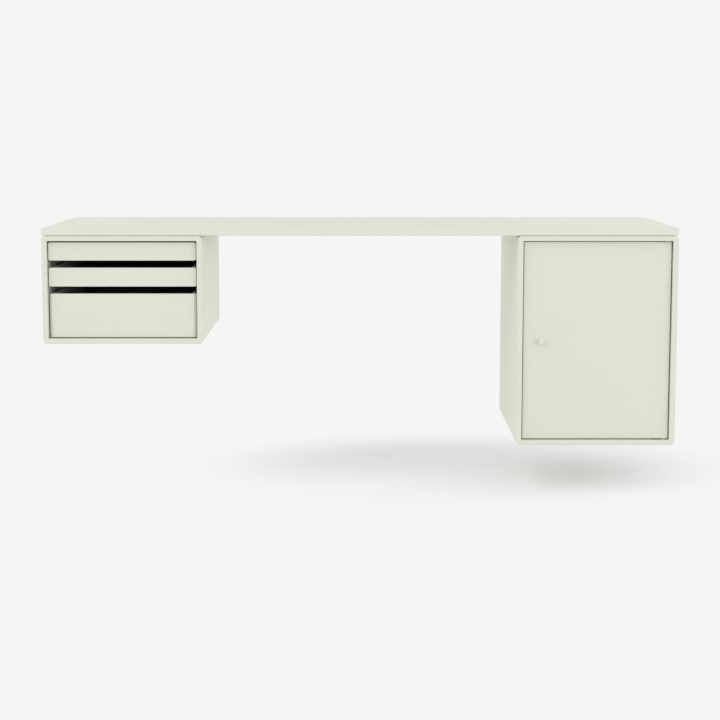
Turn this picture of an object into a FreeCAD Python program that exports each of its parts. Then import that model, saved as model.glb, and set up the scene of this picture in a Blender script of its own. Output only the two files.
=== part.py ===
import FreeCAD, Part
import math
import os

# Floating wall desk: a thin top carried by two units that hang on wall rails. The left unit holds two
# trays and a drawer on runner strips, the right unit a shelf behind a pivoted door.
# Lengths are in millimetres. X runs to the right, Y towards the wall and Z up. The origin lies on the
# wall, midway between the wall screws of the two rails.

# Desk top and units
desk_width = 1404.0
desk_depth = 468.0
top_thickness = 16.0
top_edge_radius = 1.5
top_end_radius = 6.0
unit_width = 354.0
left_unit_height = 240.0
right_unit_height = 468.0
panel_thickness = 12.0
unit_corner_radius = 10.0
panel_edge_radius = 2.0
panel_inner_edge_radius = 0.6
shadow_groove_height = 0.9
shadow_groove_depth = 5.0

# Back panels and mitre splines
back_thickness = 8.0
back_groove_depth = 5.0
wall_cavity = 24.0
spline_thickness = 3.0
spline_width = 9.0
spline_front_margin = 30.0
spline_back_margin = 8.0
spline_inset_share = 0.42

# Fronts and door leaf
front_gap = 2.0
front_recess = 9.0
front_thickness = 12.0
front_edge_radius = 0.8
upper_tray_gap = 3.4
upper_tray_height = 40.1
middle_tray_height = 41.5
tray_corner_radius = 4.0
finger_gap = 16.0
drawer_corner_radius = 3.5
drawer_bevel = 5.2
door_edge_radius = 2.0
door_end_radius = 0.8

# Boxes of the trays and the drawer
side_inset = 1.5
side_thickness = 12.0
side_outer_radius = 2.5
board_edge_radius = 0.8
base_thickness = 4.0
base_lift = 4.0
base_groove_depth = 5.0
dowel_radius = 3.0
dowel_length = 20.0
dowel_depth_share = 0.65

# Runner strips, closing pads and stops
runner_height = 8.0
runner_engagement = 4.5
runner_tip_clearance = 0.5
runner_setback = 10.0
runner_end_gap = 6.0
runner_edge_radius = 0.5
runner_screw_shares = (0.06, 0.5, 0.94)
pad_radius = 5.0
pad_thickness = 3.0
pad_edge_share = 0.4
pad_spread_share = 0.3
slide_travel = 300.0
stud_head_radius = 4.0
stud_head_share = 0.7
stud_setback = 12.0
stud_bite_share = 0.6

# Wall rails and hangers
rail_drop = 50.0
rail_thickness = 2.0
rail_end_gap = 2.0
rail_foot = 20.0
rail_head = 10.0
rail_offset = 6.0
rail_lip_height = 16.0
rail_edge_radius = 0.5
rail_hole_radius = 2.75
rail_hole_inset = 43.0
hanger_thickness = 2.0
hanger_width = 30.0
hanger_foot = 20.0
hanger_flange_depth = 14.0
hanger_relief = 5.0
hanger_bend_radius = 1.8
hanger_corner_radius = 3.0
hook_depth = 11.0
hook_clearance = 0.3
hanger_screw_shares = (0.25, 0.75)

# Shelf
shelf_thickness = 12.0
shelf_side_gap = 0.5
shelf_setback = 17.0
shelf_back_gap = 1.0
shelf_edge_radius = 1.0
shelf_height_share = 0.5
pin_radius = 2.5
pin_length = 18.0
pin_end_share = 0.35
pin_bite_share = 0.65
pin_flat = 0.5
pin_setback = 45.0

# Door pivots
pivot_inset = 9.0
pivot_plate_thickness = 2.5
pivot_plate_width = 13.0
pivot_plate_reach = 28.0
pivot_plate_margin = 8.0
pivot_plate_corner_radius = 3.0
pivot_screw_shares = (0.3, 0.75)
pivot_pin_radius = 2.5
pivot_pin_depth = 9.0
bush_radius = 4.0
bush_length = 10.0
bush_flange_radius = 5.5

# Knob
knob_inset = 40.0
knob_length = 13.0
knob_base_radius = 5.0
knob_tip_radius = 7.0
knob_neck_share = 0.3
knob_flare_share = 0.6
knob_crown_share = 0.88
knob_face_share = 0.7
knob_flare_radius = 6.0
knob_crown_radius = 2.5
knob_screw_radius = 2.0
knob_screw_head_radius = 4.0
knob_screw_head_height = 2.3
knob_screw_share = 0.55

# Magnetic catch
catch_drop = 60.0
catch_width = 14.0
catch_depth = 20.0
catch_height = 20.0
catch_edge_radius = 1.5
catch_lug_thickness = 4.0
catch_lug_height = 12.0
catch_lug_corner_radius = 4.0
magnet_width = 8.0
magnet_height = 14.0
magnet_length = 12.0
magnet_reach = 2.0
strike_thickness = 1.5
strike_width = 12.0
strike_height = 36.0
strike_inset = 2.0
strike_corner_radius = 2.5
strike_screw_share = 0.34

# Fasteners
wood_screw_radius = 1.75
wood_screw_head_radius = 3.25
wood_screw_head_height = 2.0
pan_screw_radius = 1.75
pan_screw_head_radius = 3.5
pan_screw_head_height = 2.3
head_sink = 0.2
screw_bite_share = 0.65
dome_share = 0.5
recess_radius_share = 0.5
recess_depth_share = 0.6
top_screw_inset = 40.0
top_screw_front_inset = 80.0

# Clearances: glued and drilled fits, sliding pieces, turning pins, and the overrun of every cut
joint_clearance = 0.1
sliding_clearance = 0.3
turning_clearance = 0.05
overrun = 5.0
tolerance = 0.001

Vector = FreeCAD.Vector
RIGHT = Vector(1, 0, 0)
BACK = Vector(0, 1, 0)
UP = Vector(0, 0, 1)

# Spans of the main pieces, each a (low, high) pair
desk_x = (-desk_width / 2, desk_width / 2)
desk_y = (-desk_depth, 0)
top_z = (rail_drop, rail_drop + top_thickness)
left_x = (desk_x[0], desk_x[0] + unit_width)
right_x = (desk_x[1] - unit_width, desk_x[1])
left_z = (rail_drop - left_unit_height, rail_drop)
right_z = (rail_drop - right_unit_height, rail_drop)
back_y = (-wall_cavity - back_thickness, -wall_cavity)
front_y = (desk_y[0] + front_recess, desk_y[0] + front_recess + front_thickness)
box_y = (front_y[1], back_y[0] - pad_thickness - sliding_clearance)
side_gap = front_gap + side_inset
stud_head_height = side_gap * stud_head_share

nodes = {}
holes = {}


def add(name, *solids):
    """Put solids into a node."""
    nodes.setdefault(name, []).extend(solids)


def drill(names, tool):
    """Take a tool's shape out of the named nodes when the model is finished."""
    for name in names:
        holes.setdefault(name, []).append(tool)


def one_solid(shape):
    """The single solid of a shape."""
    if len(shape.Solids) != 1:
        raise ValueError(f"expected one solid, found {len(shape.Solids)}")
    return shape.Solids[0]


def middle(span):
    return (span[0] + span[1]) / 2


def at_share(span, share):
    return span[0] + share * (span[1] - span[0])


def grown(span, amount):
    """A span made longer by an amount at both ends."""
    return (span[0] - amount, span[1] + amount)


def around(centre, width):
    return (centre - width / 2, centre + width / 2)


def span_from(face, inward, near, far):
    """The span between two distances from a face, measured towards +1 or -1."""
    ends = (face + inward * near, face + inward * far)
    return (min(ends), max(ends))


def block(x, y, z):
    """A box over three spans."""
    return Part.makeBox(x[1] - x[0], y[1] - y[0], z[1] - z[0], Vector(x[0], y[0], z[0]))


def rod(start, direction, length, radius):
    return Part.makeCylinder(radius, length, start, direction)


def prism(outline, y):
    """An outline of (x, z) points drawn out over a span of Y."""
    points = [Vector(x, y[0], z) for x, z in outline]
    return Part.Face(Part.makePolygon(points + points[:1])).extrude(BACK * (y[1] - y[0]))


def edges_along(shape, direction, keep=lambda point: True):
    """Straight edges along a direction whose midpoint passes a test."""
    found = []
    for edge in shape.Edges:
        straight = isinstance(edge.Curve, Part.Line)
        if straight and edge.Curve.Direction.cross(direction).Length < tolerance and keep(edge.CenterOfMass):
            found.append(edge)
    return found


def edges_in_plane(shape, normal, distance):
    """Edges that lie in the plane across a direction at a distance from the origin."""
    found = []
    for edge in shape.Edges:
        if max(abs(corner.Point.dot(normal) - distance) for corner in edge.Vertexes) < tolerance:
            found.append(edge)
    return found


def rounded_block(x, y, z, radius, direction):
    """A box whose edges along a direction are rounded."""
    box = block(x, y, z)
    return box.makeFillet(radius, edges_along(box, direction))


def rounded_rod(start, direction, length, radius, end_radius):
    """A rod whose far end is rounded."""
    bar = rod(start, direction, length, radius)
    return bar.makeFillet(end_radius, edges_in_plane(bar, direction, start.dot(direction) + length))


def hexagon_recess(start, direction, radius, depth):
    """Socket of a screw head, cut from just above the head."""
    across = UP if abs(direction.dot(RIGHT)) == 1 else RIGHT
    other = direction.cross(across)
    turns = [step * math.pi / 3 for step in range(6)]
    corners = [start + across * (radius * math.cos(t)) + other * (radius * math.sin(t)) for t in turns]
    corners = [corner - direction * overrun for corner in corners]
    face = Part.Face(Part.makePolygon(corners + corners[:1]))
    return face.extrude(direction * (overrun + depth))


def countersunk_screw(start, direction, length, radius, head_radius, head_height):
    """Screw with a flat head that lies a little below a face at the start point."""
    seat = start + direction * head_sink
    head = Part.makeCone(head_radius, radius, head_height, seat, direction)
    shank = rod(seat, direction, length - head_sink, radius)
    depth = head_height * recess_depth_share
    recess = hexagon_recess(seat, direction, head_radius * recess_radius_share, depth)
    return one_solid(head.fuse(shank).cut(recess).removeSplitter())


def countersunk_hole(start, direction, length, radius, head_radius, head_height):
    """The hole that such a screw fills, with its clearance, open above the face."""
    seat = start + direction * head_sink
    wide = head_radius + joint_clearance
    narrow = radius + joint_clearance
    mouth = rod(start - direction * overrun, direction, overrun + head_sink, wide)
    cone = Part.makeCone(wide, narrow, head_height, seat, direction)
    shank = rod(seat, direction, length - head_sink + joint_clearance, narrow)
    return one_solid(mouth.fuse([cone, shank]))


def fasten(name, parts, start, direction, length):
    """A countersunk wood screw through the named parts."""
    sizes = (wood_screw_radius, wood_screw_head_radius, wood_screw_head_height)
    add(name, countersunk_screw(start, direction, length, *sizes))
    drill(parts, countersunk_hole(start, direction, length, *sizes))


def domed_screw(start, direction, bite, radius, head_radius, head_height):
    """Screw whose domed head stands on a face at the start point."""
    crown = start - direction * head_height
    head = rounded_rod(start, -direction, head_height, head_radius, head_height * dome_share)
    depth = head_height * recess_depth_share
    recess = hexagon_recess(crown, direction, head_radius * recess_radius_share, depth)
    return one_solid(head.fuse(rod(start, direction, bite, radius)).cut(recess).removeSplitter())


def fasten_domed(name, parts, start, direction, bite, head_radius, head_height):
    """A domed screw into the named parts, with its drilled hole."""
    add(name, domed_screw(start, direction, bite, pan_screw_radius, head_radius, head_height))
    length = bite + joint_clearance
    drill(parts, rod(start, direction, length, pan_screw_radius + joint_clearance))


def desk_top():
    """The top: square at the wall, lightly rounded in front, fuller at the lower end edges."""
    top = block(desk_x, desk_y, top_z)
    top = top.makeFillet(top_end_radius, edges_along(top, BACK, lambda p: p.z < middle(top_z)))
    upper_ends = edges_along(top, BACK, lambda p: p.z > top_z[1] - tolerance)
    front_loop = edges_in_plane(top, BACK, desk_y[0])
    add("desk_top", top.makeFillet(top_edge_radius, upper_ends + front_loop))


def frame_corners(x, z, inset):
    """Corners of a unit's outline drawn in by an inset: lower left, lower right, upper right, upper left."""
    low_x, high_x = grown(x, -inset)
    low_z, high_z = grown(z, -inset)
    return [(low_x, low_z), (high_x, low_z), (high_x, high_z), (low_x, high_z)]


def carcass_ring(x, z):
    """A unit's four panels in one piece: rounded corners and front edges, and a shadow groove on top."""
    outer = rounded_block(x, desk_y, z, unit_corner_radius, BACK)
    outer = outer.makeFillet(panel_edge_radius, edges_in_plane(outer, BACK, desk_y[0]))
    inner_x = grown(x, -panel_thickness)
    inner_z = grown(z, -panel_thickness)
    ring = outer.cut(block(inner_x, grown(desk_y, overrun), inner_z))
    mouth = []
    for edge in edges_in_plane(ring, BACK, desk_y[0]):
        point = edge.CenterOfMass
        inside_x = inner_x[0] - tolerance < point.x < inner_x[1] + tolerance
        inside_z = inner_z[0] - tolerance < point.z < inner_z[1] + tolerance
        if inside_x and inside_z:
            mouth.append(edge)
    ring = ring.makeFillet(panel_inner_edge_radius, mouth)
    groove_y = (desk_y[0] - overrun, desk_y[0] + shadow_groove_depth)
    groove_z = (z[1] - shadow_groove_height, z[1] + overrun)
    return ring.cut(block(grown(x, overrun), groove_y, groove_z))


def mitre_splines(x, z):
    """Outlines of the strips that cross the four mitres, near the inner corners."""
    outlines = []
    diagonal = math.sqrt(1 / 2)
    for corner_x, corner_z in frame_corners(x, z, panel_thickness):
        out_x = math.copysign(diagonal, corner_x - middle(x))
        out_z = math.copysign(diagonal, corner_z - middle(z))
        out = (out_x, out_z)
        mid_x = corner_x + out[0] * panel_thickness * spline_inset_share
        mid_z = corner_z + out[1] * panel_thickness * spline_inset_share
        outlines.append((mid_x, mid_z, out))
    return outlines


def spline_solid(place, thickness, width, y):
    """A strip lying across a mitre."""
    mid_x, mid_z, out = place
    outline = []
    for along, across in ((-1, -1), (-1, 1), (1, 1), (1, -1)):
        shift_x = out[0] * along * thickness / 2 - out[1] * across * width / 2
        shift_z = out[1] * along * thickness / 2 + out[0] * across * width / 2
        outline.append((mid_x + shift_x, mid_z + shift_z))
    return prism(outline, y)


def unit(name, x, z, panel_names):
    """A unit's mitred panels, splines and back panel; panels are named bottom, right, top, left."""
    ring = carcass_ring(x, z)
    back_x = grown(x, back_groove_depth - panel_thickness)
    back_z = grown(z, back_groove_depth - panel_thickness)
    pockets = [block(back_x, back_y, back_z)]
    spline_y = (desk_y[0] + spline_front_margin, back_y[0] - spline_back_margin)
    for place in mitre_splines(x, z):
        add(f"{name}_mitre_splines", spline_solid(place, spline_thickness, spline_width, spline_y))
        pocket_thickness = spline_thickness + joint_clearance
        pocket_width = spline_width + joint_clearance
        pockets.append(spline_solid(place, pocket_thickness, pocket_width, grown(spline_y, joint_clearance)))
    ring = ring.cut(Part.makeCompound(pockets))
    fitted_x = grown(back_x, -joint_clearance)
    fitted_z = grown(back_z, -joint_clearance)
    add(f"{name}_back_panel", block(fitted_x, back_y, fitted_z))
    outside = frame_corners(x, z, -overrun)
    inside = frame_corners(x, z, panel_thickness + overrun)
    for first, panel in enumerate(panel_names):
        second = (first + 1) % len(panel_names)
        outline = [outside[first], outside[second], inside[second], inside[first]]
        add(panel, one_solid(ring.common(prism(outline, grown(desk_y, overrun)))))


def top_screws(panel, x):
    """Four screws from inside a unit up into the desk top."""
    length = panel_thickness + top_thickness * screw_bite_share
    for screw_x in grown(x, -top_screw_inset):
        for screw_y in (desk_y[0] + top_screw_front_inset, back_y[0] - top_screw_inset):
            start = Vector(screw_x, screw_y, top_z[0] - panel_thickness)
            fasten("top_screws", [panel, "desk_top"], start, UP, length)


def tray_front(x, z):
    """A shallow front with four rounded corners."""
    front = rounded_block(x, front_y, z, tray_corner_radius, BACK)
    loops = edges_in_plane(front, BACK, front_y[0]) + edges_in_plane(front, BACK, front_y[1])
    return front.makeFillet(front_edge_radius, loops)


def drawer_front(x, z):
    """A deep front with rounded upper corners and bevelled upright edges."""
    face = block(x, front_y, z)
    face = face.makeFillet(drawer_corner_radius, edges_along(face, BACK, lambda p: p.z > middle(z)))
    plan = block(x, front_y, z)
    plan = plan.makeChamfer(drawer_bevel, edges_along(plan, UP, lambda p: p.y < middle(front_y)))
    front = one_solid(face.common(plan))
    level = edges_along(front, RIGHT, lambda p: p.y < middle(front_y))
    return front.makeFillet(front_edge_radius, level + edges_in_plane(front, BACK, front_y[1]))


def pull_out(name, z, front):
    """A tray or drawer: front, sides, back, base, dowels and stop studs, with its runners and pads."""
    wall_x = grown(left_x, -panel_thickness)
    box_x = grown(wall_x, -side_gap)
    inner_x = grown(box_x, -side_thickness)
    back_board_y = (box_y[1] - side_thickness, box_y[1])
    base_x = grown(inner_x, base_groove_depth - joint_clearance)
    base_y = grown((front_y[1], back_board_y[0]), base_groove_depth - joint_clearance)
    base_z = (z[0] + base_lift, z[0] + base_lift + base_thickness)
    boards = [f"{name}_front", f"{name}_left_side", f"{name}_right_side", f"{name}_back"]
    add(f"{name}_front", front)
    back = block(inner_x, back_board_y, z)
    upper_edges = edges_along(back, RIGHT, lambda p: p.z > middle(z))
    add(f"{name}_back", back.makeFillet(board_edge_radius, upper_edges))
    add(f"{name}_base", block(base_x, base_y, base_z))
    drill(boards, block(grown(base_x, joint_clearance), grown(base_y, joint_clearance), base_z))

    runner_z = around(middle(z), runner_height)
    groove_z = grown(runner_z, sliding_clearance)
    dowel_heights = (middle((base_z[1], groove_z[0])), middle((groove_z[1], z[1])))
    stud_z = middle((z[0], groove_z[0]))
    unit_stud_y = front_y[1] + stud_setback
    box_stud_y = unit_stud_y + 2 * stud_head_radius + sliding_clearance + slide_travel
    runner_y = (front_y[1] + runner_setback, back_y[0] - runner_end_gap)
    sides = (("left", "left_outer_panel", 0, 1), ("right", "left_inner_panel", 1, -1))
    for side, panel, index, inward in sides:
        wall, outer, inner = wall_x[index], box_x[index], inner_x[index]
        board = f"{name}_{side}_side"
        side_board = block(span_from(outer, inward, 0, side_thickness), box_y, z)
        outer_edges = edges_along(side_board, BACK, lambda p: abs(p.x - outer) < tolerance)
        side_board = side_board.makeFillet(side_outer_radius, outer_edges)
        rim = edges_along(side_board, BACK, lambda p: abs(p.x - inner) < tolerance and p.z > middle(z))
        add(board, side_board.makeFillet(board_edge_radius, rim))
        groove_x = span_from(outer, inward, -overrun, runner_engagement + runner_tip_clearance)
        drill([board], block(groove_x, grown(box_y, overrun), groove_z))

        front_dowel_start = front_y[1] - front_thickness * dowel_depth_share
        side_dowel_start = inner - inward * side_thickness * dowel_depth_share
        for height in dowel_heights:
            dowel(name, boards, Vector(outer + inward * side_thickness / 2, front_dowel_start, height), BACK)
            dowel(name, boards, Vector(side_dowel_start, middle(back_board_y), height), RIGHT * inward)

        runner_reach = side_gap + runner_engagement
        strip = block(span_from(wall, inward, 0, runner_reach), runner_y, runner_z)
        tip = edges_in_plane(strip, RIGHT, wall + inward * runner_reach)
        add("runner_strips", strip.makeFillet(runner_edge_radius, tip))
        for share in runner_screw_shares:
            start = Vector(wall + inward * runner_reach, at_share(runner_y, share), middle(runner_z))
            length = runner_reach + panel_thickness * screw_bite_share
            fasten("runner_screws", ["runner_strips", panel], start, RIGHT * -inward, length)

        unit_bite = panel_thickness * stud_bite_share
        unit_stud = Vector(wall, unit_stud_y, stud_z)
        sizes = (stud_head_radius, stud_head_height)
        fasten_domed("unit_stop_studs", [panel], unit_stud, RIGHT * -inward, unit_bite, *sizes)
        box_bite = (side_thickness - base_groove_depth) * stud_bite_share
        box_stud = Vector(outer, box_stud_y, stud_z)
        fasten_domed(f"{name}_stop_studs", [board], box_stud, RIGHT * inward, box_bite, *sizes)

        pad_x = middle(wall_x) - inward * (wall_x[1] - wall_x[0]) * pad_spread_share
        pad_start = Vector(pad_x, back_y[0], middle(z))
        pad_edge = pad_thickness * pad_edge_share
        add("closing_pads", rounded_rod(pad_start, -BACK, pad_thickness, pad_radius, pad_edge))


def dowel(name, boards, start, direction):
    """A dowel of a tray or drawer and its hole in the boards that it joins."""
    add(f"{name}_dowels", rod(start, direction, dowel_length, dowel_radius))
    hole_start = start - direction * joint_clearance
    hole_length = dowel_length + 2 * joint_clearance
    drill(boards, rod(hole_start, direction, hole_length, dowel_radius + joint_clearance))


def pull_outs():
    """Two trays and a drawer, from the top of the left unit down."""
    inner_x = grown(left_x, -panel_thickness)
    inner_z = grown(left_z, -panel_thickness)
    front_x = grown(inner_x, -front_gap)
    upper_top = inner_z[1] - upper_tray_gap
    upper_z = (upper_top - upper_tray_height, upper_top)
    middle_z = (upper_z[0] - finger_gap - middle_tray_height, upper_z[0] - finger_gap)
    drawer_z = (inner_z[0] + front_gap, middle_z[0] - finger_gap)
    pull_out("upper_tray", upper_z, tray_front(front_x, upper_z))
    pull_out("middle_tray", middle_z, tray_front(front_x, middle_z))
    pull_out("deep_drawer", drawer_z, drawer_front(front_x, drawer_z))


def hanging(name, x, panels):
    """A wall rail behind a unit, and the two hooks that hang the unit on it."""
    wall_x = grown(x, -panel_thickness)
    rail_x = grown(wall_x, -rail_end_gap)
    lip_y = (-rail_offset - rail_thickness, -rail_offset)
    lip_top = rail_head + rail_lip_height
    foot = block(rail_x, (-rail_thickness, 0), (-rail_foot, rail_head))
    step = block(rail_x, (lip_y[0], 0), (rail_head - rail_thickness, rail_head))
    lip = block(rail_x, lip_y, (rail_head - rail_thickness, lip_top))
    rail = one_solid(foot.fuse([step, lip]).removeSplitter())
    rail = rail.makeFillet(rail_edge_radius, edges_along(rail, RIGHT))
    for hole_x in grown(rail_x, -rail_hole_inset):
        hole_start = Vector(hole_x, -rail_thickness - overrun, 0)
        rail = rail.cut(rod(hole_start, BACK, rail_thickness + 2 * overrun, rail_hole_radius))
    add(f"{name}_wall_rail", one_solid(rail))

    leg_y = (lip_y[0] - hook_clearance - hanger_thickness, lip_y[0] - hook_clearance)
    hook_y = (lip_y[1] + hook_clearance, lip_y[1] + hook_clearance + hanger_thickness)
    flange_y = (leg_y[1] - hanger_flange_depth, leg_y[1])
    hanger_z = (-hanger_foot, lip_top + hanger_thickness)
    flange_z = (-hanger_foot, lip_top - hanger_relief)
    for panel, wall, inward in ((panels[0], wall_x[0], 1), (panels[1], wall_x[1], -1)):
        hook_x = span_from(wall, inward, hanger_relief, hanger_width)
        flange_x = span_from(wall, inward, 0, hanger_thickness)
        flange = block(flange_x, flange_y, flange_z)
        flange_corners = edges_along(flange, RIGHT, lambda p: abs(p.y - flange_y[0]) < tolerance)
        flange = flange.makeFillet(hanger_corner_radius, flange_corners)
        web = block(span_from(wall, inward, 0, hanger_width), leg_y, flange_z)
        leg = block(hook_x, leg_y, hanger_z)
        bridge = block(hook_x, (leg_y[0], hook_y[1]), (lip_top, hanger_z[1]))
        hook = block(hook_x, hook_y, (lip_top - hook_depth, hanger_z[1]))
        hanger = one_solid(flange.fuse([web, leg, bridge, hook]).removeSplitter())
        fold = edges_along(hanger, UP, lambda p: abs(p.x - wall) < tolerance and p.y > leg_y[1] - tolerance)
        bends = edges_along(hanger, RIGHT, lambda p: p.z > hanger_z[1] - tolerance)
        add(f"{name}_hangers", hanger.makeFillet(hanger_bend_radius, fold + bends))
        for share in hanger_screw_shares:
            screw_y = middle((flange_y[0], leg_y[0]))
            start = Vector(wall + inward * hanger_thickness, screw_y, at_share(flange_z, share))
            bite = hanger_thickness + panel_thickness * screw_bite_share
            sizes = (pan_screw_head_radius, pan_screw_head_height)
            parts = [f"{name}_hangers", panel]
            fasten_domed("hanger_screws", parts, start, RIGHT * -inward, bite, *sizes)


def shelf():
    """A loose shelf on four pins with flat seats."""
    wall_x = grown(right_x, -panel_thickness)
    shelf_x = grown(wall_x, -shelf_side_gap)
    shelf_y = (front_y[1] + shelf_setback, back_y[0] - shelf_back_gap)
    inner_z = grown(right_z, -panel_thickness)
    shelf_z = around(at_share(inner_z, shelf_height_share), shelf_thickness)
    board = block(shelf_x, shelf_y, shelf_z)
    front_edges = edges_along(board, RIGHT, lambda p: p.y < middle(shelf_y))
    add("shelf", board.makeFillet(shelf_edge_radius, front_edges))
    pin_z = shelf_z[0] - pin_radius + pin_flat
    for panel, wall, inward in (("right_inner_panel", wall_x[0], 1), ("right_outer_panel", wall_x[1], -1)):
        for pin_y in grown(shelf_y, -pin_setback):
            bite = panel_thickness * pin_bite_share
            start = Vector(wall - inward * bite, pin_y, pin_z)
            pin = rounded_rod(start, RIGHT * inward, pin_length, pin_radius, pin_radius * pin_end_share)
            seat_x = span_from(wall, inward, 0, pin_length)
            seat = block(seat_x, around(pin_y, 2 * pin_radius + overrun), (shelf_z[0], shelf_z[1]))
            add("shelf_pins", one_solid(pin.cut(seat)))
            drill([panel], rod(start, RIGHT * inward, bite + overrun, pin_radius + joint_clearance))


def door_span():
    """Width and height spans of the door leaf."""
    door_x = grown(right_x, -panel_thickness - front_gap)
    door_z = grown(right_z, -panel_thickness - front_gap)
    return door_x, door_z


def door_leaf():
    """The door, with rounded upright edges that clear the frame as it turns."""
    door_x, door_z = door_span()
    leaf = rounded_block(door_x, front_y, door_z, door_edge_radius, UP)
    loops = edges_in_plane(leaf, UP, door_z[0]) + edges_in_plane(leaf, UP, door_z[1])
    add("door", leaf.makeFillet(door_end_radius, loops))


def pivots():
    """Pivot plates let into the panels above and below the door, and flanged bushes in the door."""
    door_x, door_z = door_span()
    pivot_x = door_x[1] - pivot_inset
    pivot_y = middle(front_y)
    plate_x = (pivot_x - pivot_plate_reach, pivot_x + pivot_plate_margin)
    plate_y = around(pivot_y, pivot_plate_width)
    ends = (("upper", "right_top_panel", door_z[1], 1), ("lower", "right_bottom_panel", door_z[0], -1))
    for name, panel, edge_z, outward in ends:
        face_z = edge_z + outward * front_gap
        plate_z = span_from(face_z, outward, 0, pivot_plate_thickness)
        into_door = UP * -outward
        pin_start = Vector(pivot_x, pivot_y, face_z + outward * pivot_plate_thickness)
        pin_length = pivot_plate_thickness + front_gap + pivot_pin_depth
        pin = rod(pin_start, into_door, pin_length, pivot_pin_radius)
        plate = rounded_block(plate_x, plate_y, plate_z, pivot_plate_corner_radius, UP)
        add(f"{name}_pivot", one_solid(plate.fuse(pin).removeSplitter()))
        pocket_x = grown(plate_x, joint_clearance)
        pocket_y = grown(plate_y, joint_clearance)
        pocket_z = span_from(face_z, outward, -overrun, pivot_plate_thickness)
        pocket_corner = pivot_plate_corner_radius + joint_clearance
        drill([panel], rounded_block(pocket_x, pocket_y, pocket_z, pocket_corner, UP))
        for share in pivot_screw_shares:
            start = Vector(plate_x[0] + share * (pivot_plate_reach - bush_flange_radius), pivot_y, face_z)
            length = pivot_plate_thickness + (panel_thickness - pivot_plate_thickness) * screw_bite_share
            fasten("pivot_screws", [f"{name}_pivot", panel], start, UP * outward, length)

        edge = Vector(pivot_x, pivot_y, edge_z)
        flange_thickness = front_gap - sliding_clearance
        flange = rod(edge - into_door * flange_thickness, into_door, flange_thickness, bush_flange_radius)
        sleeve = rod(edge, into_door, bush_length, bush_radius)
        bore_start = edge - into_door * (flange_thickness + overrun)
        bore_length = flange_thickness + bush_length + 2 * overrun
        bore = rod(bore_start, into_door, bore_length, pivot_pin_radius + turning_clearance)
        add("door_bushes", one_solid(flange.fuse(sleeve).cut(bore).removeSplitter()))
        drill(["door"], rod(edge - into_door * overrun, into_door, overrun + bush_length, bush_radius))


def knob():
    """A turned knob at half the door's height, held by a screw from behind."""
    door_x, door_z = door_span()
    centre = Vector(door_x[0] + knob_inset, front_y[0], middle(door_z))
    outline = (
        (0, 0),
        (knob_base_radius, 0),
        (knob_base_radius, knob_neck_share * knob_length),
        (knob_tip_radius, knob_flare_share * knob_length),
        (knob_tip_radius, knob_crown_share * knob_length),
        (knob_tip_radius * knob_face_share, knob_length),
        (0, knob_length),
    )
    points = [centre + RIGHT * radius - BACK * distance for radius, distance in outline]
    profile = Part.Face(Part.makePolygon(points + points[:1]))
    turned = one_solid(profile.revolve(centre, BACK, 360))
    for share, radius in (
        (knob_neck_share, knob_flare_radius),
        (knob_flare_share, knob_flare_radius),
        (knob_crown_share, knob_crown_radius),
        (1, knob_crown_radius),
    ):
        turned = turned.makeFillet(radius, edges_in_plane(turned, -BACK, share * knob_length - front_y[0]))
    add("door_knob", one_solid(turned))
    length = front_thickness + knob_length * knob_screw_share
    start = Vector(centre.x, front_y[1], centre.z)
    sizes = (knob_screw_radius, knob_screw_head_radius, knob_screw_head_height)
    add("knob_screw", countersunk_screw(start, -BACK, length, *sizes))
    drill(["door", "door_knob"], countersunk_hole(start, -BACK, length, *sizes))


def catch():
    """A magnetic catch on the inner side panel and the steel strike on the door."""
    door_x, door_z = door_span()
    wall = right_x[0] + panel_thickness
    centre_z = right_z[1] - panel_thickness - catch_drop
    strike_y = (front_y[1], front_y[1] + strike_thickness)
    magnet_y = (strike_y[1] + sliding_clearance, strike_y[1] + sliding_clearance + magnet_length)
    housing_y = (magnet_y[0] + magnet_reach, magnet_y[0] + magnet_reach + catch_depth)
    magnet_x = around(wall + catch_width / 2, magnet_width)
    magnet_z = around(centre_z, magnet_height)
    body = block((wall, wall + catch_width), housing_y, around(centre_z, catch_height))
    body = body.makeFillet(catch_edge_radius, edges_in_plane(body, RIGHT, wall + catch_width))
    lug_x = (wall, wall + catch_lug_thickness)
    lug_z = around(centre_z, catch_height + 2 * catch_lug_height)
    lugs = rounded_block(lug_x, housing_y, lug_z, catch_lug_corner_radius, RIGHT)
    pocket_y = (housing_y[0] - overrun, magnet_y[1])
    pocket = block(grown(magnet_x, joint_clearance), pocket_y, grown(magnet_z, joint_clearance))
    add("catch_housing", one_solid(body.fuse(lugs).cut(pocket).removeSplitter()))
    add("catch_magnet", block(magnet_x, magnet_y, magnet_z))
    for side in (-1, 1):
        screw_z = centre_z + side * (catch_height + catch_lug_height) / 2
        start = Vector(wall + catch_lug_thickness, middle(housing_y), screw_z)
        bite = catch_lug_thickness + panel_thickness * screw_bite_share
        sizes = (pan_screw_head_radius, pan_screw_head_height)
        fasten_domed("catch_screws", ["catch_housing", "right_inner_panel"], start, -RIGHT, bite, *sizes)

    strike_x = (door_x[0] + strike_inset, door_x[0] + strike_inset + strike_width)
    strike_z = around(centre_z, strike_height)
    add("strike_plate", rounded_block(strike_x, strike_y, strike_z, strike_corner_radius, BACK))
    for side in (-1, 1):
        start = Vector(middle(strike_x), strike_y[1], centre_z + side * strike_height * strike_screw_share)
        length = strike_thickness + front_thickness * screw_bite_share
        fasten("strike_screws", ["strike_plate", "door"], start, -BACK, length)


def export():
    """Drill every node and write it to its own file."""
    os.makedirs("parts", exist_ok=True)
    for name, solids in nodes.items():
        if name in holes:
            tools = Part.makeCompound(holes[name])
            solids = [one_solid(solid.cut(tools)) for solid in solids]
        shape = solids[0] if len(solids) == 1 else Part.makeCompound(solids)
        if not shape.isValid():
            raise ValueError(f"{name} is not a valid shape")
        shape.exportStep(f"parts/{name}.step")


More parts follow.
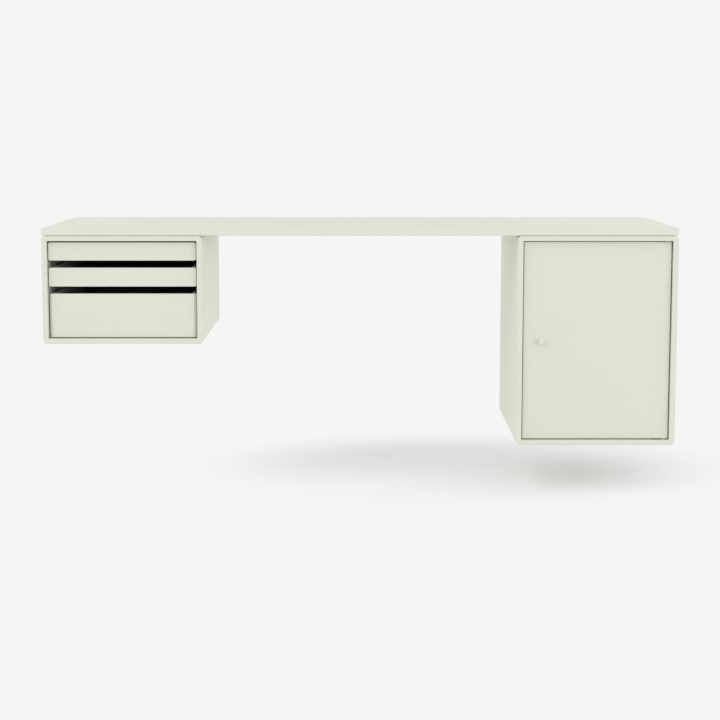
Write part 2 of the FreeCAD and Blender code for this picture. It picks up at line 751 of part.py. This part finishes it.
def main():
    left_panels = ["left_bottom_panel", "left_inner_panel", "left_top_panel", "left_outer_panel"]
    right_panels = ["right_bottom_panel", "right_outer_panel", "right_top_panel", "right_inner_panel"]
    desk_top()
    unit("left", left_x, left_z, left_panels)
    unit("right", right_x, right_z, right_panels)
    top_screws("left_top_panel", left_x)
    top_screws("right_top_panel", right_x)
    pull_outs()
    hanging("left", left_x, ["left_outer_panel", "left_inner_panel"])
    hanging("right", right_x, ["right_inner_panel", "right_outer_panel"])
    shelf()
    door_leaf()
    pivots()
    knob()
    catch()
    export()


main()
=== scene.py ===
"""Finishes and studio of the floating wall desk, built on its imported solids."""

import math

import bpy
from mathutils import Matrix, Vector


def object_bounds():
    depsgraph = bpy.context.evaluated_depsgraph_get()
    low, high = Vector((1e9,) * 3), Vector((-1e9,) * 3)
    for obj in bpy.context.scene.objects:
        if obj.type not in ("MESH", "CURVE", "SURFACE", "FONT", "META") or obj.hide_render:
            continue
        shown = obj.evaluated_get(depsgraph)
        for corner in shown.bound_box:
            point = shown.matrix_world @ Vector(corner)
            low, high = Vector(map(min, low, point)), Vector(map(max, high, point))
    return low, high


bl_info = {
    "name": "Floating Wall Desk",
    "version": (1, 0, 0),
    "blender": (4, 5, 0),
    "location": "3D View > Sidebar > Wall Desk",
    "description": "Lacquer, fittings and studio of a wall-hung desk with trays, a drawer and a cupboard",
    "category": "Object",
}

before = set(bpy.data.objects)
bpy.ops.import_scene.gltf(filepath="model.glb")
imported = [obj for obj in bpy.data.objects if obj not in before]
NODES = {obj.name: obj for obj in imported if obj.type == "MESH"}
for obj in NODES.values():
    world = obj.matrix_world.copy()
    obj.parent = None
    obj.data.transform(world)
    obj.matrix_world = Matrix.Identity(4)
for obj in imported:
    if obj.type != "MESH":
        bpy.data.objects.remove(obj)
CAD_BOX = [list(corner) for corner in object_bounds()]

BOXES = ("upper_tray", "middle_tray", "deep_drawer")
PANELS = ("top_panel", "bottom_panel", "inner_panel", "outer_panel", "back_panel")
CARCASS = [f"{unit}_{panel}" for unit in ("left", "right") for panel in PANELS]
FRONTS = [f"{box}_front" for box in BOXES] + ["door"]
SIDES = [f"{box}_{side}_side" for box in BOXES for side in ("left", "right")]
# Backs and bases of the boxes: they get a dark colour that is painted shade for the deep inside of the boxes
PAINTED_SHADE_BOARDS = [f"{box}_{board}" for box in BOXES for board in ("back", "base")]
TIMBER = [f"{box}_dowels" for box in BOXES] + ["left_mitre_splines", "right_mitre_splines"]
STUDS = [f"{box}_stop_studs" for box in BOXES] + ["unit_stop_studs"]
SCREWS = ["top_screws", "runner_screws", "hanger_screws", "knob_screw"]
SCREWS += ["pivot_screws", "catch_screws", "strike_screws"]
PLATES = ["left_hangers", "right_hangers", "upper_pivot", "lower_pivot", "strike_plate", "shelf_pins"]
RAILS = ["left_wall_rail", "right_wall_rail"]

# Soft lamps: turn from the front towards the right, height over the horizon, both in degrees, and strength
LAMPS = (
    ("lamp_front_right", 45, 12, 0.212),
    ("lamp_front_left", -45, 42, 0.19),
    ("lamp_side_left", -90, 10, 0.148),
    ("lamp_rear_right", 150, 10, 0.186),
    ("lamp_rear_left", -150, 10, 0.139),
)

SENSOR_WIDTH = 36.0  # millimetres
FAR_LIMIT = 200.0  # metres that the camera sees
MICRON = 0.000001  # metres
NOISE_MIDDLE = 0.5  # value that a noise texture varies about
LACQUER_GRAIN = 900.0  # ripples of the lacquer in a metre
TOP_SHINE, UNIT_SHINE, PLAIN_SHINE = 0.6, 0.2, 0.3  # specular levels


def colour(name, description, default):
    """A colour that a user can change."""
    return bpy.props.FloatVectorProperty(
        name=name, description=description, default=default, size=3, min=0.0, max=1.0, subtype="COLOR"
    )


def length(name, description, default):
    """A length that a user can change."""
    return bpy.props.FloatProperty(name=name, description=description, default=default, unit="LENGTH")


def share(name, description, default):
    """A share between nothing and all that a user can change."""
    return bpy.props.FloatProperty(
        name=name, description=description, default=default, min=0.0, max=1.0, subtype="FACTOR"
    )


def angle(name, description, degrees):
    """An angle that a user can change."""
    return bpy.props.FloatProperty(
        name=name, description=description, default=math.radians(degrees), subtype="ANGLE"
    )


def spot(name, description, default):
    """A place, or a reach along each axis, that a user can change."""
    return bpy.props.FloatVectorProperty(
        name=name, description=description, default=default, subtype="TRANSLATION", unit="LENGTH"
    )


class DeskFinishes(bpy.types.PropertyGroup):
    """Colours and gloss of the desk."""

    lacquer: colour("Lacquer", "Colour of the lacquered boards", (0.735, 0.755, 0.64))
    lacquer_gloss: share("Lacquer roughness", "Roughness of the satin lacquer", 0.42)
    top_gloss: share("Top roughness", "Roughness of the flatter lacquer on the top", 0.55)
    lacquer_drift: share("Lacquer drift", "How far the lacquer's tone drifts over a board", 0.02)
    peel: length("Peel height", "Height of the sprayed lacquer's fine ripple", 30 * MICRON)
    # The lining colour is painted shade: a dark tone on the boxes' backs and bases that makes the finger gaps
    # look as dark as deep shade
    lining: colour("Lining", "Colour of the dyed backs and bases of the boxes", (0.15, 0.15, 0.145))
    timber: colour("Beech", "Colour of dowels and mitre strips", (0.54, 0.32, 0.15))
    runners: colour("Runner plastic", "Colour of the runner strips", (0.022, 0.022, 0.022))
    catch: colour("Catch plastic", "Colour of the magnetic catch's housing", (0.68, 0.68, 0.65))
    rubber: colour("Rubber", "Colour of the closing pads", (0.013, 0.013, 0.013))
    magnet: colour("Magnet", "Colour of the catch's magnet", (0.01, 0.01, 0.011))
    steel: colour("Steel", "Colour of the zinc plated steel", (0.42, 0.43, 0.45))
    aluminium: colour("Aluminium", "Colour of the wall rails", (0.6, 0.6, 0.585))
    brass: colour("Brass", "Colour of the pivot bushes", (0.6, 0.37, 0.085))


class DeskStudio(bpy.types.PropertyGroup):
    """Camera, floor and light."""

    lens: bpy.props.FloatProperty(
        name="Lens", description="Focal length in millimetres", default=88.067, subtype="DISTANCE_CAMERA"
    )
    camera_back: length("Camera distance", "From the wall to the camera", 4.34093)
    camera_height: length("Camera height", "Above the rails' wall screws", 0.29319)
    camera_tilt: angle("Camera tilt", "Downwards from level", 7.63)
    floor_drop: length("Floor drop", "From the lowest panel to the floor", 0.12)
    floor_size: length("Floor size", "Side of the square floor", 60.0)
    backdrop: colour("Backdrop", "Colour of the background", (0.913, 0.913, 0.913))
    floor: colour("Floor", "Colour of the floor", (0.97, 0.965, 1.0))
    dome: bpy.props.FloatProperty(
        name="Dome", description="Strength of the light from all sides", default=0.663
    )
    lamp_spread: angle("Lamp spread", "How wide each lamp looks", 36.0)
    shadow_middle: spot(
        "Shadow middle", "Place on the floor where the shadow is fullest", (0.258, -0.09, 0.0)
    )
    shadow_reach: spot(
        "Shadow reach", "Distance at which the shadow has faded into the backdrop", (0.735, 0.524, 1.0)
    )
    shadow_core: share("Shadow core", "Share of the reach in which the whole shadow shows", 0.325)


def new_group(name, inputs, outputs):
    """An empty shader group with its sockets, and its input and output nodes."""
    tree = bpy.data.node_groups.new(name, "ShaderNodeTree")
    for socket, kind in inputs:
        tree.interface.new_socket(name=socket, in_out="INPUT", socket_type=kind)
    for socket, kind in outputs:
        tree.interface.new_socket(name=socket, in_out="OUTPUT", socket_type=kind)
    return tree, tree.nodes.new("NodeGroupInput"), tree.nodes.new("NodeGroupOutput")


def noise(tree, vector, scale, detail):
    """A noise texture on a vector; the scale is a number or a socket."""
    made = tree.nodes.new("ShaderNodeTexNoise")
    made.inputs["Detail"].default_value = detail
    tree.links.new(vector, made.inputs["Vector"])
    if isinstance(scale, float):
        made.inputs["Scale"].default_value = scale
    else:
        tree.links.new(scale, made.inputs["Scale"])
    return made.outputs["Fac"]


def maths(tree, operation, *values):
    """A maths node on numbers and sockets."""
    made = tree.nodes.new("ShaderNodeMath")
    made.operation = operation
    for socket, value in zip(made.inputs, values):
        if isinstance(value, (int, float)):
            socket.default_value = value
        else:
            tree.links.new(value, socket)
    return made.outputs[0]


def centred(tree, value):
    """A noise value about nothing."""
    return maths(tree, "SUBTRACT", value, NOISE_MIDDLE)


def stretched(tree, vector, scale):
    """Coordinates scaled along each axis; a small scale draws a pattern out."""
    made = tree.nodes.new("ShaderNodeMapping")
    made.inputs["Scale"].default_value = scale
    tree.links.new(vector, made.inputs["Vector"])
    return made.outputs["Vector"]


def tinted(tree, tint, change, amount):
    """A colour made lighter and darker by a change over the surface, as far as the amount says."""
    made = tree.nodes.new("ShaderNodeVectorMath")
    made.operation = "SCALE"
    tree.links.new(tint, made.inputs[0])
    tree.links.new(maths(tree, "MULTIPLY_ADD", change, amount, 1.0), made.inputs["Scale"])
    return made.outputs[0]


def mixed(tree, mask, first, second):
    """A blend from the first shader to the second by a mask."""
    made = tree.nodes.new("ShaderNodeMixShader")
    tree.links.new(mask, made.inputs["Fac"])
    tree.links.new(first.outputs[0], made.inputs[1])
    tree.links.new(second.outputs[0], made.inputs[2])
    return made


FLOAT, COLOUR = "NodeSocketFloat", "NodeSocketColor"
SURFACE_INPUTS = (("Colour", COLOUR), ("Drift", FLOAT), ("Grain", FLOAT), ("Gloss", FLOAT))
SURFACE_OUTPUTS = (("Colour", COLOUR), ("Roughness", FLOAT), ("Height", FLOAT))


def surface_group(name, draw):
    """A surface group, drawn once: draw gives its tone, its gloss, how far the gloss goes, and its height."""
    if name in bpy.data.node_groups:
        return bpy.data.node_groups[name]
    tree, given, result = new_group(name, SURFACE_INPUTS, SURFACE_OUTPUTS)
    place = tree.nodes.new("ShaderNodeTexCoord").outputs["Object"]
    tone, gloss, gloss_amount, height = draw(tree, place, given.outputs["Grain"])
    colour_out = tinted(tree, given.outputs["Colour"], tone, given.outputs["Drift"])
    roughness = maths(tree, "MULTIPLY_ADD", gloss, gloss_amount, given.outputs["Gloss"])
    tree.links.new(colour_out, result.inputs["Colour"])
    tree.links.new(roughness, result.inputs["Roughness"])
    tree.links.new(height, result.inputs["Height"])
    return tree


def sprayed_film(tree, place, grain):
    """Sprayed and moulded surfaces: slow drift of tone, clouded gloss and a fine ripple."""
    patches, clouds, gloss_amount = 5.5, 60.0, 0.12
    tone = centred(tree, noise(tree, place, patches, detail=2.0))
    gloss = centred(tree, noise(tree, place, clouds, detail=3.0))
    return tone, gloss, gloss_amount, noise(tree, place, grain, detail=1.5)


def drawn_metal(tree, place, grain):
    """Drawn and rolled metal: fine streaks along X over a clouded tone."""
    along_x, clouds, gloss_amount = (0.02, 1.0, 1.0), 90.0, 0.2
    streaks = noise(tree, stretched(tree, place, along_x), grain, detail=2.0)
    cloud = noise(tree, place, clouds, detail=3.0)
    tone = maths(tree, "SUBTRACT", maths(tree, "ADD", streaks, cloud), 2 * NOISE_MIDDLE)
    return tone, centred(tree, cloud), gloss_amount, streaks


def wood_grain(tree, place, grain):
    """Small turned and sawn timber: growth lines along Y, broken by short pale flecks."""
    along_y, fleck_form, fleck_scale = (1.0, 0.04, 1.0), (1.0, 0.25, 0.4), 2600.0
    fleck_level, fleck_tone, gloss_amount = 0.63, 0.25, -0.12
    lines = noise(tree, stretched(tree, place, along_y), grain, detail=3.0)
    flecks = noise(tree, stretched(tree, place, fleck_form), fleck_scale, detail=1.0)
    flecks = maths(tree, "GREATER_THAN", flecks, fleck_level)
    tone = maths(tree, "MULTIPLY_ADD", flecks, fleck_tone, centred(tree, lines))
    return tone, flecks, gloss_amount, lines


def pressed_fibre(tree, place, grain):
    """Fibreboard: fine specks of fibre over a clouded tone, under the dark painted-shade colour that the
    caller gives.
    """
    along_y, speck_scale, speck_level, gloss_amount = (1.0, 0.3, 1.0), 1700.0, 0.66, 0.2
    fibres = noise(tree, stretched(tree, place, along_y), grain, detail=4.0)
    specks = maths(tree, "GREATER_THAN", noise(tree, place, speck_scale, detail=1.0), speck_level)
    tone = maths(tree, "ADD", centred(tree, fibres), specks)
    return tone, centred(tree, fibres), gloss_amount, fibres


def surface(name, draw, tint, *, drift, grain, gloss, height, metallic=0.0, specular=PLAIN_SHINE):
    """A material whose colour, roughness and ripple come from a surface group."""
    material = bpy.data.materials.new(name)
    material.use_nodes = True
    tree = material.node_tree
    shader = tree.nodes["Principled BSDF"]
    shader.inputs["Metallic"].default_value = metallic
    shader.inputs["Specular IOR Level"].default_value = specular
    film = tree.nodes.new("ShaderNodeGroup")
    film.node_tree = surface_group(draw.__name__, draw)
    film.inputs["Colour"].default_value = (*tint, 1.0)
    film.inputs["Drift"].default_value = drift
    film.inputs["Grain"].default_value = grain
    film.inputs["Gloss"].default_value = gloss
    bump = tree.nodes.new("ShaderNodeBump")
    bump.inputs["Strength"].default_value = 1.0
    bump.inputs["Distance"].default_value = height
    tree.links.new(film.outputs["Colour"], shader.inputs["Base Color"])
    tree.links.new(film.outputs["Roughness"], shader.inputs["Roughness"])
    tree.links.new(film.outputs["Height"], bump.inputs["Height"])
    tree.links.new(bump.outputs["Normal"], shader.inputs["Normal"])
    return material


def lacquer(name, gloss, specular=PLAIN_SHINE):
    """The satin lacquer of the boards."""
    finish = bpy.context.scene.desk_finishes
    return surface(
        name, sprayed_film, finish.lacquer, drift=finish.lacquer_drift, grain=LACQUER_GRAIN, gloss=gloss,
        height=finish.peel, specular=specular
    )


def metal(name, tint, **values):
    """A material of drawn or rolled metal."""
    return surface(name, drawn_metal, tint, metallic=1.0, **values)


def coat(names, material):
    """Give a material to CAD nodes."""
    for name in names:
        node = NODES[name]
        if not node.material_slots:
            node.data.materials.append(material)
        for place in node.material_slots:
            place.material = material


class DESK_OT_stage(bpy.types.Operator):
    """Set up the camera, the pale floor and the soft light"""

    bl_idname = "desk.stage"
    bl_label = "Set Up Studio"

    def execute(self, context):
        studio = context.scene.desk_studio
        self.place_camera(context, studio)
        self.light_world(context, studio)
        self.hang_lamps(context, studio)
        self.lay_floor(studio)
        context.scene.view_settings.view_transform = "Standard"
        return {"FINISHED"}

    def place_camera(self, context, studio):
        camera = bpy.data.objects.new("studio_camera", bpy.data.cameras.new("studio_camera"))
        context.scene.collection.objects.link(camera)
        camera.data.sensor_width = SENSOR_WIDTH
        camera.data.lens = studio.lens
        camera.data.clip_end = FAR_LIMIT
        camera.location = (0.0, -studio.camera_back, studio.camera_height)
        camera.rotation_euler = (math.pi / 2 - studio.camera_tilt, 0.0, 0.0)
        context.scene.camera = camera

    def seen_directly(self, tree):
        """A mask of the rays that show the background: from the camera, in mirrors and through glass."""
        path = tree.nodes.new("ShaderNodeLightPath").outputs
        seen = maths(tree, "MAXIMUM", path["Is Camera Ray"], path["Is Glossy Ray"])
        return maths(tree, "MAXIMUM", seen, path["Is Transmission Ray"])

    def seen_from_below(self, tree):
        """A mask of the camera's rays that meet the floor's underside, which then lets the view through."""
        under = tree.nodes.new("ShaderNodeNewGeometry").outputs["Backfacing"]
        return maths(tree, "MULTIPLY", under, tree.nodes.new("ShaderNodeLightPath").outputs["Is Camera Ray"])

    def light_world(self, context, studio):
        world = bpy.data.worlds.new("studio_world")
        context.scene.world = world
        world.use_nodes = True
        tree = world.node_tree
        tree.nodes.clear()
        dome = tree.nodes.new("ShaderNodeBackground")
        dome.inputs["Color"].default_value = (1.0, 1.0, 1.0, 1.0)
        dome.inputs["Strength"].default_value = studio.dome
        backdrop = tree.nodes.new("ShaderNodeBackground")
        backdrop.inputs["Color"].default_value = (*studio.backdrop, 1.0)
        light = mixed(tree, self.seen_directly(tree), dome, backdrop)
        result = tree.nodes.new("ShaderNodeOutputWorld")
        tree.links.new(light.outputs[0], result.inputs["Surface"])

    def hang_lamps(self, context, studio):
        for name, turn, height, strength in LAMPS:
            lamp = bpy.data.objects.new(name, bpy.data.lights.new(name, "SUN"))
            context.scene.collection.objects.link(lamp)
            lamp.data.angle = studio.lamp_spread
            lamp.data.energy = math.pi * strength
            lamp.rotation_euler = (math.radians(90 - height), 0.0, math.radians(turn))

    def fading(self, tree, studio):
        """A mask that rises from nothing under the desk to one at the end of the shadow's reach."""
        place = tree.nodes.new("ShaderNodeMapping")
        place.vector_type = "TEXTURE"
        place.inputs["Location"].default_value = studio.shadow_middle
        place.inputs["Scale"].default_value = studio.shadow_reach
        tree.links.new(tree.nodes.new("ShaderNodeTexCoord").outputs["Object"], place.inputs["Vector"])
        away = tree.nodes.new("ShaderNodeVectorMath")
        away.operation = "LENGTH"
        tree.links.new(place.outputs["Vector"], away.inputs[0])
        fade = tree.nodes.new("ShaderNodeMapRange")
        fade.interpolation_type = "SMOOTHSTEP"
        fade.inputs["From Min"].default_value = studio.shadow_core
        fade.inputs["From Max"].default_value = 1.0
        tree.links.new(away.outputs["Value"], fade.inputs["Value"])
        return fade.outputs["Result"]

    def lay_floor(self, studio):
        bpy.ops.object.select_all(action="DESELECT")
        height = CAD_BOX[0][2] - studio.floor_drop
        bpy.ops.mesh.primitive_plane_add(size=studio.floor_size, location=(0.0, 0.0, height))
        floor = bpy.context.object
        floor.name = "studio_floor"
        material = bpy.data.materials.new("studio_floor")
        material.use_nodes = True
        tree = material.node_tree
        tree.nodes.clear()
        matt = tree.nodes.new("ShaderNodeBsdfDiffuse")
        matt.inputs["Color"].default_value = (*studio.floor, 1.0)
        glow = tree.nodes.new("ShaderNodeEmission")
        glow.inputs["Color"].default_value = (*studio.backdrop, 1.0)
        faded = maths(tree, "MULTIPLY", self.seen_directly(tree), self.fading(tree, studio))
        shadowed = mixed(tree, faded, matt, glow)
        clear = tree.nodes.new("ShaderNodeBsdfTransparent")
        one_sided = mixed(tree, self.seen_from_below(tree), shadowed, clear)
        result = tree.nodes.new("ShaderNodeOutputMaterial")
        tree.links.new(one_sided.outputs[0], result.inputs["Surface"])
        floor.data.materials.append(material)


class DESK_OT_lacquer_boards(bpy.types.Operator):
    """Lacquer the top, the two units and the shelf"""

    bl_idname = "desk.lacquer_boards"
    bl_label = "Lacquer Top and Units"

    def execute(self, context):
        finish = context.scene.desk_finishes
        coat(["desk_top"], lacquer("lacquer_top", finish.top_gloss, TOP_SHINE))
        coat(CARCASS + ["shelf"], lacquer("lacquer_units", finish.lacquer_gloss, UNIT_SHINE))
        return {"FINISHED"}


class DESK_OT_lacquer_fronts(bpy.types.Operator):
    """Lacquer the tray and drawer fronts and the door, and paint its knob"""

    bl_idname = "desk.lacquer_fronts"
    bl_label = "Lacquer Fronts and Door"

    def execute(self, context):
        finish = context.scene.desk_finishes
        coat(FRONTS, lacquer("lacquer_fronts", finish.lacquer_gloss))
        knob_paint = surface(
            "knob_paint", sprayed_film, finish.lacquer,
            drift=0.01, grain=1500.0, gloss=0.36, height=10 * MICRON
        )
        coat(["door_knob"], knob_paint)
        return {"FINISHED"}


class DESK_OT_finish_boxes(bpy.types.Operator):
    """Finish the sides and dowels of the boxes, their backs and bases in a dark colour that is painted shade,
    and the units' mitre strips
    """

    bl_idname = "desk.finish_boxes"
    bl_label = "Finish Trays and Drawer"

    def execute(self, context):
        finish = context.scene.desk_finishes
        coat(SIDES, lacquer("lacquer_boxes", finish.lacquer_gloss))
        # Painted shade: the backs and bases are made dark so that the inside of the boxes reads as deep shade
        # through the finger gaps
        lining = surface(
            "lining", pressed_fibre, finish.lining, drift=0.5, grain=900.0, gloss=0.8, height=50 * MICRON,
            specular=0.15
        )
        beech = surface(
            "beech", wood_grain, finish.timber, drift=0.5, grain=900.0, gloss=0.6, height=40 * MICRON
        )
        coat(PAINTED_SHADE_BOARDS, lining)
        coat(TIMBER, beech)
        return {"FINISHED"}


class DESK_OT_finish_metal(bpy.types.Operator):
    """Finish the rails, hangers, pivots, strike, pins, studs, screws and bushes"""

    bl_idname = "desk.finish_metal"
    bl_label = "Finish Metal Fittings"

    def execute(self, context):
        finish = context.scene.desk_finishes
        rail_aluminium = metal(
            "rail_aluminium", finish.aluminium, drift=0.12, grain=2500.0, gloss=0.34, height=10 * MICRON
        )
        zinc_steel = metal(
            "zinc_steel", finish.steel, drift=0.2, grain=1800.0, gloss=0.38, height=10 * MICRON
        )
        screw_steel = metal(
            "screw_steel", finish.steel, drift=0.25, grain=3000.0, gloss=0.32, height=6 * MICRON
        )
        brass = metal("brass", finish.brass, drift=0.15, grain=3000.0, gloss=0.3, height=6 * MICRON)
        coat(RAILS, rail_aluminium)
        coat(PLATES, zinc_steel)
        coat(SCREWS + STUDS, screw_steel)
        coat(["door_bushes"], brass)
        return {"FINISHED"}


class DESK_OT_finish_moulded(bpy.types.Operator):
    """Finish the runner strips, the catch with its magnet, and the closing pads"""

    bl_idname = "desk.finish_moulded"
    bl_label = "Finish Moulded Fittings"

    def execute(self, context):
        finish = context.scene.desk_finishes
        runner_plastic = surface(
            "runner_plastic", sprayed_film, finish.runners,
            drift=0.2, grain=1600.0, gloss=0.5, height=30 * MICRON
        )
        catch_plastic = surface(
            "catch_plastic", sprayed_film, finish.catch,
            drift=0.03, grain=1600.0, gloss=0.45, height=20 * MICRON
        )
        pad_rubber = surface(
            "pad_rubber", sprayed_film, finish.rubber, drift=0.3, grain=2400.0, gloss=0.75, height=40 * MICRON
        )
        magnet = surface(
            "magnet", sprayed_film, finish.magnet, drift=0.4, grain=2200.0, gloss=0.6, height=30 * MICRON
        )
        coat(["runner_strips"], runner_plastic)
        coat(["catch_housing"], catch_plastic)
        coat(["closing_pads"], pad_rubber)
        coat(["catch_magnet"], magnet)
        return {"FINISHED"}


STEPS = (
    DESK_OT_stage,
    DESK_OT_lacquer_boards,
    DESK_OT_lacquer_fronts,
    DESK_OT_finish_boxes,
    DESK_OT_finish_metal,
    DESK_OT_finish_moulded,
)


class DESK_PT_panel(bpy.types.Panel):
    """Steps and settings of the wall desk"""

    bl_idname = "DESK_PT_panel"
    bl_label = "Wall Desk"
    bl_space_type = "VIEW_3D"
    bl_region_type = "UI"
    bl_category = "Wall Desk"

    def draw(self, context):
        for step in STEPS:
            self.layout.operator(step.bl_idname)
        for settings in (context.scene.desk_finishes, context.scene.desk_studio):
            for name in settings.__annotations__:
                self.layout.prop(settings, name)


CLASSES = (DeskFinishes, DeskStudio, *STEPS, DESK_PT_panel)


def register():
    for made in CLASSES:
        bpy.utils.register_class(made)
    bpy.types.Scene.desk_finishes = bpy.props.PointerProperty(type=DeskFinishes)
    bpy.types.Scene.desk_studio = bpy.props.PointerProperty(type=DeskStudio)


def unregister():
    del bpy.types.Scene.desk_studio
    del bpy.types.Scene.desk_finishes
    for made in reversed(CLASSES):
        bpy.utils.unregister_class(made)


def main():
    register()
    bpy.ops.desk.stage()
    bpy.ops.desk.lacquer_boards()
    bpy.ops.desk.lacquer_fronts()
    bpy.ops.desk.finish_boxes()
    bpy.ops.desk.finish_metal()
    bpy.ops.desk.finish_moulded()


if __name__ == "__main__":
    main()
